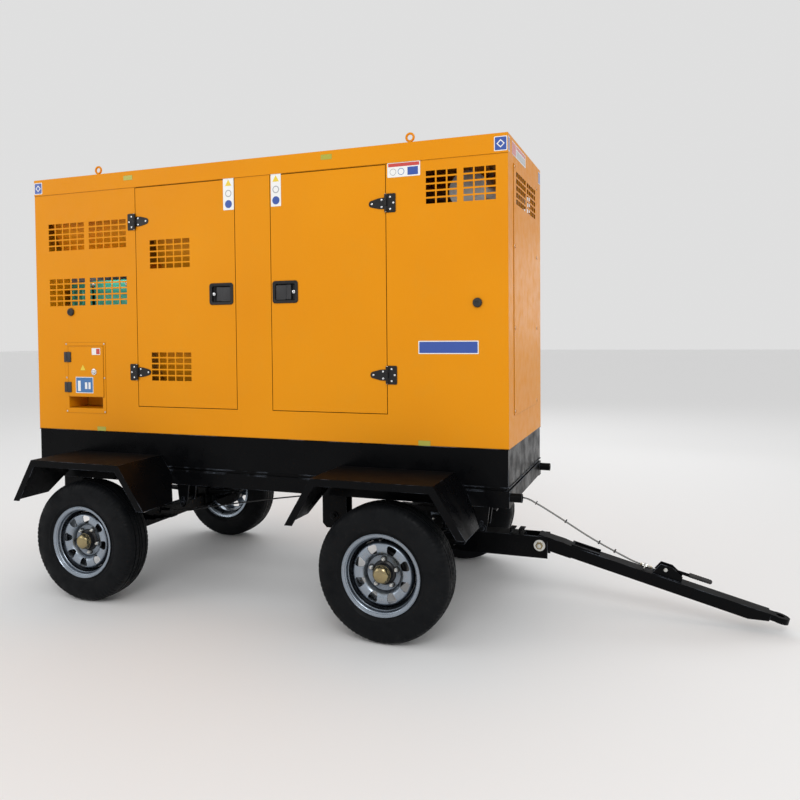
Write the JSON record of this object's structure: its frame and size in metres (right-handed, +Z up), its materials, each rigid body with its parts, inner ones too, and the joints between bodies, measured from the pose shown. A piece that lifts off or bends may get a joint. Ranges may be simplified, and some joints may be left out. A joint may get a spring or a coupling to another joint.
{
  "type": "towable diesel generator",
  "caption": "Silenced diesel generator set in a rectangular canopy on a fuel-tank base, carried by a steered drawbar trailer with sprung axles and fenders.",
  "frame": {"origin": "on the ground under the middle of the overall box", "axes": "+X along the drawbar, +Y to the left, +Z up"},
  "size_m": [4.406, 1.82, 2.622],
  "materials": {
    "canopy_paint": "satin powder coat, orange yellow",
    "chassis_black": "gloss black enamel",
    "fittings_black": "satin black powder coat",
    "zinc_plate": "bright zinc plate",
    "chrome": "polished",
    "rubber": "moulded",
    "tyre": "ribbed tread, matt sidewall",
    "wheel_silver": "silver wheel lacquer",
    "brass": "zinc and brass fittings",
    "cable_sheath": "smooth cable sheath",
    "engine_green": "teal enamel on castings",
    "steel": "machined",
    "fan_plastic": "moulded",
    "radiator_alloy": "painted core",
    "exhaust_steel": "aluminised steel",
    "battery_plastic": "moulded case",
    "panel_grey": "grey powder coat",
    "button_red": "gloss moulded"
  },
  "bodies": {
    "chassis": {"canopy_roof": "canopy_paint", "canopy_side_right": "canopy_paint", "canopy_side_left": "canopy_paint", "canopy_end_panels": "canopy_paint", "front_access_panel": "canopy_paint", "inner_air_hoods": "canopy_paint", "lifting_eyes": "zinc_plate", "door_stop_buffers": "rubber", "fixed_hinge_leaves": "fittings_black", "output_box": "canopy_paint", "base_fuel_tank": "chassis_black", "chassis_frame": "chassis_black", "fenders": "chassis_black", "spring_hangers": "chassis_black", "leaf_springs": "chassis_black", "rear_axle": "chassis_black", "front_axle": "chassis_black", "axle_brake_cable": "cable_sheath", "engine_block": "engine_green", "alternator": "engine_green", "fan_belt": "rubber", "radiator": "radiator_alloy", "exhaust_silencer": "exhaust_steel", "battery": "battery_plastic", "control_panel": "panel_grey"},
    "output_door": {"output_door": "canopy_paint"},
    "output_lock": {"output_lock": "chrome"},
    "steering_head": {"steering_head": "chassis_black", "drawbar_pin": "zinc_plate", "drawbar_brake_cable": "cable_sheath"},
    "drawbar": {"drawbar": "chassis_black", "tow_eye": "chassis_black", "brake_cable_adjuster": "brass"},
    "brake_lever": {"brake_lever": "chassis_black"},
    "tie_rod": {"tie_rod": "chassis_black"},
    "knuckle_right": {"steering_knuckle_right": "chassis_black"},
    "knuckle_left": {"steering_knuckle_left": "chassis_black"},
    "crankshaft": {"crankshaft_and_rotor": "steel"},
    "cooling_fan": {"cooling_fan": "fan_plastic"},
    "stop_button": {"stop_button": "button_red"},
    "door_rear_right": {"door_rear_right": "canopy_paint", "door_fittings_rear_right": "fittings_black"},
    "paddle_rear_right": {"latch_paddle_rear_right": "fittings_black"},
    "wheel_rear_right": {"tyre_rear_right": "tyre", "wheel_rear_right": "wheel_silver"},
    "door_front_right": {"door_front_right": "canopy_paint", "door_fittings_front_right": "fittings_black"},
    "paddle_front_right": {"latch_paddle_front_right": "fittings_black"},
    "wheel_front_right": {"tyre_front_right": "tyre", "wheel_front_right": "wheel_silver"},
    "door_rear_left": {"door_rear_left": "canopy_paint", "door_fittings_rear_left": "fittings_black"},
    "paddle_rear_left": {"latch_paddle_rear_left": "fittings_black"},
    "wheel_rear_left": {"tyre_rear_left": "tyre", "wheel_rear_left": "wheel_silver"},
    "door_front_left": {"door_front_left": "canopy_paint", "door_fittings_front_left": "fittings_black"},
    "paddle_front_left": {"latch_paddle_front_left": "fittings_black"},
    "wheel_front_left": {"tyre_front_left": "tyre", "wheel_front_left": "wheel_silver"}
  },
  "joints": [
    {"name": "door_rear_right_hinge", "type": "hinge", "parent": "chassis", "child": "door_rear_right", "pos_m": [-1.41804, -0.517, 1.784], "axis": [0, 0, -1], "range_deg": [0, 170]},
    {"name": "paddle_rear_right_hinge", "type": "hinge", "parent": "door_rear_right", "child": "paddle_rear_right", "pos_m": [-0.81504, -0.497, 1.8315], "axis": [-1, 0, 0], "range_deg": [0, 30], "stiffness_Nm_per_rad": 1},
    {"name": "door_front_right_hinge", "type": "hinge", "parent": "chassis", "child": "door_front_right", "pos_m": [0.21296, -0.517, 1.784], "axis": [0, 0, 1], "range_deg": [0, 170]},
    {"name": "paddle_front_right_hinge", "type": "hinge", "parent": "door_front_right", "child": "paddle_front_right", "pos_m": [-0.39704, -0.497, 1.8315], "axis": [-1, 0, 0], "range_deg": [0, 30], "stiffness_Nm_per_rad": 1},
    {"name": "door_rear_left_hinge", "type": "hinge", "parent": "chassis", "child": "door_rear_left", "pos_m": [-1.41804, 0.517, 1.784], "axis": [0, 0, 1], "range_deg": [0, 170]},
    {"name": "paddle_rear_left_hinge", "type": "hinge", "parent": "door_rear_left", "child": "paddle_rear_left", "pos_m": [-0.81504, 0.497, 1.8315], "axis": [1, 0, 0], "range_deg": [0, 30], "stiffness_Nm_per_rad": 1},
    {"name": "door_front_left_hinge", "type": "hinge", "parent": "chassis", "child": "door_front_left", "pos_m": [0.21296, 0.517, 1.784], "axis": [0, 0, -1], "range_deg": [0, 170]},
    {"name": "paddle_front_left_hinge", "type": "hinge", "parent": "door_front_left", "child": "paddle_front_left", "pos_m": [-0.39704, 0.497, 1.8315], "axis": [1, 0, 0], "range_deg": [0, 30], "stiffness_Nm_per_rad": 1},
    {"name": "wheel_rear_right_spin", "type": "hinge", "parent": "chassis", "child": "wheel_rear_right", "pos_m": [-1.56504, -0.767, 0.351], "axis": [0, 1, 0], "continuous": true},
    {"name": "wheel_rear_left_spin", "type": "hinge", "parent": "chassis", "child": "wheel_rear_left", "pos_m": [-1.56504, 0.767, 0.351], "axis": [0, 1, 0], "continuous": true},
    {"name": "wheel_front_right_spin", "type": "hinge", "parent": "knuckle_right", "child": "wheel_front_right", "pos_m": [0.29196, -0.767, 0.351], "axis": [0, 1, 0], "continuous": true},
    {"name": "wheel_front_left_spin", "type": "hinge", "parent": "knuckle_left", "child": "wheel_front_left", "pos_m": [0.29196, 0.767, 0.351], "axis": [0, 1, 0], "continuous": true},
    {"name": "steering_swing", "type": "hinge", "parent": "chassis", "child": "steering_head", "pos_m": [0.29196, 0, 0.351], "axis": [0, 0, 1], "range_deg": [-25, 25]},
    {"name": "kingpin_right", "type": "hinge", "parent": "chassis", "child": "knuckle_right", "pos_m": [0.29196, -0.6, 0.351], "axis": [0, 0, 1], "range_deg": [-25, 25]},
    {"name": "kingpin_left", "type": "hinge", "parent": "chassis", "child": "knuckle_left", "pos_m": [0.29196, 0.6, 0.351], "axis": [0, 0, 1], "range_deg": [-25, 25]},
    {"name": "tie_rod_pivot", "type": "hinge", "parent": "steering_head", "child": "tie_rod", "pos_m": [0.14196, 0, 0.283], "axis": [0, 0, 1], "range_deg": [-25, 25]},
    {"name": "drawbar_lift", "type": "hinge", "parent": "steering_head", "child": "drawbar", "pos_m": [0.94796, 0, 0.354], "axis": [0, -1, 0], "range_deg": [0, 60], "deforming": ["drawbar_brake_cable"]},
    {"name": "brake_lever_pull", "type": "hinge", "parent": "drawbar", "child": "brake_lever", "pos_m": [1.60897, 0, 0.27395], "axis": [0, -1, 0], "range_deg": [0, 55]},
    {"name": "output_door_hinge", "type": "hinge", "parent": "chassis", "child": "output_door", "pos_m": [-1.96304, -0.515, 1.325], "axis": [0, 0, 1], "range_deg": [-110, 0]},
    {"name": "output_lock_turn", "type": "hinge", "parent": "output_door", "child": "output_lock", "pos_m": [-1.75104, -0.516, 1.325], "axis": [0, 1, 0], "range_deg": [0, 90]},
    {"name": "crankshaft_spin", "type": "hinge", "parent": "chassis", "child": "crankshaft", "pos_m": [-0.33304, 0, 1.354], "axis": [1, 0, 0], "continuous": true},
    {"name": "cooling_fan_spin", "type": "hinge", "parent": "chassis", "child": "cooling_fan", "pos_m": [0.16696, 0, 1.524], "axis": [1, 0, 0], "continuous": true},
    {"name": "stop_button_press", "type": "slide", "parent": "chassis", "child": "stop_button", "axis": [1, 0, 0], "range_m": [0, 0.006], "stiffness_N_per_m": 800}
  ],
  "couplings": [
    {"joint": "kingpin_right", "follows": "steering_swing", "ratio": 1},
    {"joint": "kingpin_left", "follows": "steering_swing", "ratio": 1},
    {"joint": "tie_rod_pivot", "follows": "steering_swing", "ratio": -1},
    {"joint": "cooling_fan_spin", "follows": "crankshaft_spin", "ratio": 1.1071}
  ]
}
